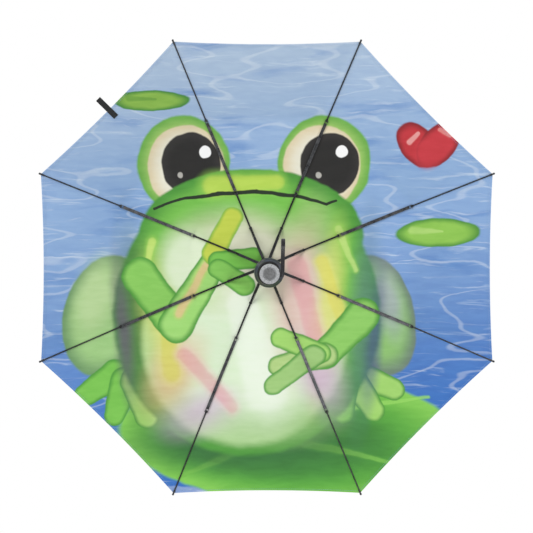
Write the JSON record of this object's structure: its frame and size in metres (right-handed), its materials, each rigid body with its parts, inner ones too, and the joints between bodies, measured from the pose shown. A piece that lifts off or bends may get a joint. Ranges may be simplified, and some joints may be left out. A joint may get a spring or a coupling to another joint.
{
  "type": "umbrella",
  "caption": "Children's folding umbrella: printed cloth canopy on hinged three-section ribs, sliding runner, telescopic shaft and short handle with push button and wrist strap.",
  "frame": {"origin": "centre of the handle's butt, where a hand or a holder carries the umbrella", "axes": "+Z along the shaft from the handle to the ferrule; the ribs stand at eight even turns about Z, none of them on X or Y"},
  "size_m": [0.878, 0.878, 0.6506],
  "materials": {
    "rib_black": "black coated steel",
    "rib_grey": "grey coated steel",
    "rib_wire": "black coated steel wire with moulded tip",
    "strut_black": "black coated steel",
    "cloth": "printed pongee, water-repellent",
    "webbing": "woven black webbing",
    "black_plastic": "moulded, semi-gloss",
    "black_nylon": "moulded nylon",
    "wire_steel": "drawn wire",
    "tube_steel": "plated tube",
    "spring_steel": "spring wire",
    "gloss_black": "polished black",
    "grey_plastic": "silver-grey moulded",
    "disc_grey": "turned-grain grey insert"
  },
  "bodies": {
    "handle": {"lower_tube": "tube_steel", "spring_seat": "black_nylon", "main_spring": "spring_steel", "tip_cup": "black_plastic", "grip": "gloss_black", "end_cap": "grey_plastic", "end_disc": "disc_grey", "wrist_strap": "webbing", "button_spring": "spring_steel"},
    "button": {"push_button": "black_plastic", "button_catch": "wire_steel"},
    "mid_shaft": {"middle_tube": "tube_steel"},
    "top_shaft": {"upper_tube": "tube_steel", "crown_notch": "black_nylon", "crown_wire": "wire_steel", "canopy_washer": "black_nylon", "ferrule_cap": "black_plastic", "canopy_gore_1": "cloth", "canopy_gore_2": "cloth", "canopy_gore_3": "cloth", "canopy_gore_4": "cloth", "canopy_gore_5": "cloth", "canopy_gore_6": "cloth", "canopy_gore_7": "cloth", "canopy_gore_8": "cloth", "tie_strap": "webbing"},
    "runner": {"runner": "black_nylon", "runner_wire": "wire_steel"},
    "inner_1": {"inner_rib_1": "rib_black"},
    "middle_1": {"middle_rib_1": "rib_grey"},
    "outer_1": {"outer_rib_1": "rib_wire"},
    "strut_1": {"stretcher_1": "strut_black"},
    "inner_2": {"inner_rib_2": "rib_black"},
    "middle_2": {"middle_rib_2": "rib_grey"},
    "outer_2": {"outer_rib_2": "rib_wire"},
    "strut_2": {"stretcher_2": "strut_black"},
    "inner_3": {"inner_rib_3": "rib_black"},
    "middle_3": {"middle_rib_3": "rib_grey"},
    "outer_3": {"outer_rib_3": "rib_wire"},
    "strut_3": {"stretcher_3": "strut_black"},
    "inner_4": {"inner_rib_4": "rib_black"},
    "middle_4": {"middle_rib_4": "rib_grey"},
    "outer_4": {"outer_rib_4": "rib_wire"},
    "strut_4": {"stretcher_4": "strut_black"},
    "inner_5": {"inner_rib_5": "rib_black"},
    "middle_5": {"middle_rib_5": "rib_grey"},
    "outer_5": {"outer_rib_5": "rib_wire"},
    "strut_5": {"stretcher_5": "strut_black"},
    "inner_6": {"inner_rib_6": "rib_black"},
    "middle_6": {"middle_rib_6": "rib_grey"},
    "outer_6": {"outer_rib_6": "rib_wire"},
    "strut_6": {"stretcher_6": "strut_black"},
    "inner_7": {"inner_rib_7": "rib_black"},
    "middle_7": {"middle_rib_7": "rib_grey"},
    "outer_7": {"outer_rib_7": "rib_wire"},
    "strut_7": {"stretcher_7": "strut_black"},
    "inner_8": {"inner_rib_8": "rib_black"},
    "middle_8": {"middle_rib_8": "rib_grey"},
    "outer_8": {"outer_rib_8": "rib_wire"},
    "strut_8": {"stretcher_8": "strut_black"}
  },
  "joints": [
    {"name": "shaft_collapse", "type": "slide", "parent": "handle", "child": "mid_shaft", "axis": [0, 0, -1], "range_m": [0, 0.16]},
    {"name": "shaft_upper_slide", "type": "slide", "parent": "mid_shaft", "child": "top_shaft", "axis": [0, 0, -1], "range_m": [0, 0.16]},
    {"name": "canopy_fold", "type": "hinge", "parent": "top_shaft", "child": "inner_1", "pos_m": [-0.00459, -0.01109, 0.572], "axis": [0.9239, -0.3827, 0], "range_deg": [0, 83], "deforming": ["canopy_gore_1", "canopy_gore_2", "canopy_gore_3", "canopy_gore_4", "canopy_gore_5", "canopy_gore_6", "canopy_gore_7", "canopy_gore_8", "tie_strap"]},
    {"name": "middle_rib_1_fold", "type": "hinge", "parent": "inner_1", "child": "middle_1", "pos_m": [-0.05865, -0.14158, 0.55718], "axis": [-0.9239, 0.3827, 0], "range_deg": [0, 189]},
    {"name": "outer_rib_1_fold", "type": "hinge", "parent": "middle_1", "child": "outer_1", "pos_m": [-0.117, -0.28245, 0.50846], "axis": [0.9239, -0.3827, 0], "range_deg": [0, 167]},
    {"name": "stretcher_1_swing", "type": "hinge", "parent": "runner", "child": "strut_1", "pos_m": [-0.00459, -0.01109, 0.51541], "axis": [-0.9239, 0.3827, 0], "range_deg": [0, 54.41]},
    {"name": "inner_rib_2_fold", "type": "hinge", "parent": "top_shaft", "child": "inner_2", "pos_m": [0.00459, -0.01109, 0.572], "axis": [0.9239, 0.3827, 0], "range_deg": [0, 83]},
    {"name": "middle_rib_2_fold", "type": "hinge", "parent": "inner_2", "child": "middle_2", "pos_m": [0.05865, -0.14158, 0.55718], "axis": [-0.9239, -0.3827, 0], "range_deg": [0, 189]},
    {"name": "outer_rib_2_fold", "type": "hinge", "parent": "middle_2", "child": "outer_2", "pos_m": [0.117, -0.28245, 0.50846], "axis": [0.9239, 0.3827, 0], "range_deg": [0, 167]},
    {"name": "stretcher_2_swing", "type": "hinge", "parent": "runner", "child": "strut_2", "pos_m": [0.00459, -0.01109, 0.51541], "axis": [-0.9239, -0.3827, 0], "range_deg": [0, 54.41]},
    {"name": "inner_rib_3_fold", "type": "hinge", "parent": "top_shaft", "child": "inner_3", "pos_m": [0.01109, -0.00459, 0.572], "axis": [0.3827, 0.9239, 0], "range_deg": [0, 83]},
    {"name": "middle_rib_3_fold", "type": "hinge", "parent": "inner_3", "child": "middle_3", "pos_m": [0.14158, -0.05865, 0.55718], "axis": [-0.3827, -0.9239, 0], "range_deg": [0, 189]},
    {"name": "outer_rib_3_fold", "type": "hinge", "parent": "middle_3", "child": "outer_3", "pos_m": [0.28245, -0.117, 0.50846], "axis": [0.3827, 0.9239, 0], "range_deg": [0, 167]},
    {"name": "stretcher_3_swing", "type": "hinge", "parent": "runner", "child": "strut_3", "pos_m": [0.01109, -0.00459, 0.51541], "axis": [-0.3827, -0.9239, 0], "range_deg": [0, 54.41]},
    {"name": "inner_rib_4_fold", "type": "hinge", "parent": "top_shaft", "child": "inner_4", "pos_m": [0.01109, 0.00459, 0.572], "axis": [-0.3827, 0.9239, 0], "range_deg": [0, 83]},
    {"name": "middle_rib_4_fold", "type": "hinge", "parent": "inner_4", "child": "middle_4", "pos_m": [0.14158, 0.05865, 0.55718], "axis": [0.3827, -0.9239, 0], "range_deg": [0, 189]},
    {"name": "outer_rib_4_fold", "type": "hinge", "parent": "middle_4", "child": "outer_4", "pos_m": [0.28245, 0.117, 0.50846], "axis": [-0.3827, 0.9239, 0], "range_deg": [0, 167]},
    {"name": "stretcher_4_swing", "type": "hinge", "parent": "runner", "child": "strut_4", "pos_m": [0.01109, 0.00459, 0.51541], "axis": [0.3827, -0.9239, 0], "range_deg": [0, 54.41]},
    {"name": "inner_rib_5_fold", "type": "hinge", "parent": "top_shaft", "child": "inner_5", "pos_m": [0.00459, 0.01109, 0.572], "axis": [-0.9239, 0.3827, 0], "range_deg": [0, 83]},
    {"name": "middle_rib_5_fold", "type": "hinge", "parent": "inner_5", "child": "middle_5", "pos_m": [0.05865, 0.14158, 0.55718], "axis": [0.9239, -0.3827, 0], "range_deg": [0, 189]},
    {"name": "outer_rib_5_fold", "type": "hinge", "parent": "middle_5", "child": "outer_5", "pos_m": [0.117, 0.28245, 0.50846], "axis": [-0.9239, 0.3827, 0], "range_deg": [0, 167]},
    {"name": "stretcher_5_swing", "type": "hinge", "parent": "runner", "child": "strut_5", "pos_m": [0.00459, 0.01109, 0.51541], "axis": [0.9239, -0.3827, 0], "range_deg": [0, 54.41]},
    {"name": "inner_rib_6_fold", "type": "hinge", "parent": "top_shaft", "child": "inner_6", "pos_m": [-0.00459, 0.01109, 0.572], "axis": [-0.9239, -0.3827, 0], "range_deg": [0, 83]},
    {"name": "middle_rib_6_fold", "type": "hinge", "parent": "inner_6", "child": "middle_6", "pos_m": [-0.05865, 0.14158, 0.55718], "axis": [0.9239, 0.3827, 0], "range_deg": [0, 189]},
    {"name": "outer_rib_6_fold", "type": "hinge", "parent": "middle_6", "child": "outer_6", "pos_m": [-0.117, 0.28245, 0.50846], "axis": [-0.9239, -0.3827, 0], "range_deg": [0, 167]},
    {"name": "stretcher_6_swing", "type": "hinge", "parent": "runner", "child": "strut_6", "pos_m": [-0.00459, 0.01109, 0.51541], "axis": [0.9239, 0.3827, 0], "range_deg": [0, 54.41]},
    {"name": "inner_rib_7_fold", "type": "hinge", "parent": "top_shaft", "child": "inner_7", "pos_m": [-0.01109, 0.00459, 0.572], "axis": [-0.3827, -0.9239, 0], "range_deg": [0, 83]},
    {"name": "middle_rib_7_fold", "type": "hinge", "parent": "inner_7", "child": "middle_7", "pos_m": [-0.14158, 0.05865, 0.55718], "axis": [0.3827, 0.9239, 0], "range_deg": [0, 189]},
    {"name": "outer_rib_7_fold", "type": "hinge", "parent": "middle_7", "child": "outer_7", "pos_m": [-0.28245, 0.117, 0.50846], "axis": [-0.3827, -0.9239, 0], "range_deg": [0, 167]},
    {"name": "stretcher_7_swing", "type": "hinge", "parent": "runner", "child": "strut_7", "pos_m": [-0.01109, 0.00459, 0.51541], "axis": [0.3827, 0.9239, 0], "range_deg": [0, 54.41]},
    {"name": "inner_rib_8_fold", "type": "hinge", "parent": "top_shaft", "child": "inner_8", "pos_m": [-0.01109, -0.00459, 0.572], "axis": [0.3827, -0.9239, 0], "range_deg": [0, 83]},
    {"name": "middle_rib_8_fold", "type": "hinge", "parent": "inner_8", "child": "middle_8", "pos_m": [-0.14158, -0.05865, 0.55718], "axis": [-0.3827, 0.9239, 0], "range_deg": [0, 189]},
    {"name": "outer_rib_8_fold", "type": "hinge", "parent": "middle_8", "child": "outer_8", "pos_m": [-0.28245, -0.117, 0.50846], "axis": [0.3827, -0.9239, 0], "range_deg": [0, 167]},
    {"name": "stretcher_8_swing", "type": "hinge", "parent": "runner", "child": "strut_8", "pos_m": [-0.01109, -0.00459, 0.51541], "axis": [-0.3827, 0.9239, 0], "range_deg": [0, 54.41]},
    {"name": "runner_slide", "type": "slide", "parent": "top_shaft", "child": "runner", "axis": [0, 0, -1], "range_m": [0, 0.09441]},
    {"name": "push_button", "type": "slide", "parent": "handle", "child": "button", "axis": [0, -1, 0], "range_m": [0, 0.0022], "stiffness_N_per_m": 600, "springref_m": -0.001, "deforming": ["button_spring"]}
  ],
  "couplings": [
    {"joint": "shaft_upper_slide", "follows": "shaft_collapse", "ratio": 1},
    {"joint": "middle_rib_1_fold", "follows": "canopy_fold", "ratio": 2.2771},
    {"joint": "outer_rib_1_fold", "follows": "canopy_fold", "ratio": 2.012},
    {"joint": "stretcher_1_swing", "follows": "canopy_fold", "ratio": 0.6555},
    {"joint": "inner_rib_2_fold", "follows": "canopy_fold", "ratio": 1},
    {"joint": "middle_rib_2_fold", "follows": "canopy_fold", "ratio": 2.2771},
    {"joint": "outer_rib_2_fold", "follows": "canopy_fold", "ratio": 2.012},
    {"joint": "stretcher_2_swing", "follows": "canopy_fold", "ratio": 0.6555},
    {"joint": "inner_rib_3_fold", "follows": "canopy_fold", "ratio": 1},
    {"joint": "middle_rib_3_fold", "follows": "canopy_fold", "ratio": 2.2771},
    {"joint": "outer_rib_3_fold", "follows": "canopy_fold", "ratio": 2.012},
    {"joint": "stretcher_3_swing", "follows": "canopy_fold", "ratio": 0.6555},
    {"joint": "inner_rib_4_fold", "follows": "canopy_fold", "ratio": 1},
    {"joint": "middle_rib_4_fold", "follows": "canopy_fold", "ratio": 2.2771},
    {"joint": "outer_rib_4_fold", "follows": "canopy_fold", "ratio": 2.012},
    {"joint": "stretcher_4_swing", "follows": "canopy_fold", "ratio": 0.6555},
    {"joint": "inner_rib_5_fold", "follows": "canopy_fold", "ratio": 1},
    {"joint": "middle_rib_5_fold", "follows": "canopy_fold", "ratio": 2.2771},
    {"joint": "outer_rib_5_fold", "follows": "canopy_fold", "ratio": 2.012},
    {"joint": "stretcher_5_swing", "follows": "canopy_fold", "ratio": 0.6555},
    {"joint": "inner_rib_6_fold", "follows": "canopy_fold", "ratio": 1},
    {"joint": "middle_rib_6_fold", "follows": "canopy_fold", "ratio": 2.2771},
    {"joint": "outer_rib_6_fold", "follows": "canopy_fold", "ratio": 2.012},
    {"joint": "stretcher_6_swing", "follows": "canopy_fold", "ratio": 0.6555},
    {"joint": "inner_rib_7_fold", "follows": "canopy_fold", "ratio": 1},
    {"joint": "middle_rib_7_fold", "follows": "canopy_fold", "ratio": 2.2771},
    {"joint": "outer_rib_7_fold", "follows": "canopy_fold", "ratio": 2.012},
    {"joint": "stretcher_7_swing", "follows": "canopy_fold", "ratio": 0.6555},
    {"joint": "inner_rib_8_fold", "follows": "canopy_fold", "ratio": 1},
    {"joint": "middle_rib_8_fold", "follows": "canopy_fold", "ratio": 2.2771},
    {"joint": "outer_rib_8_fold", "follows": "canopy_fold", "ratio": 2.012},
    {"joint": "stretcher_8_swing", "follows": "canopy_fold", "ratio": 0.6555},
    {"joint": "runner_slide", "follows": "canopy_fold", "m_per_rad": 0.065168}
  ]
}
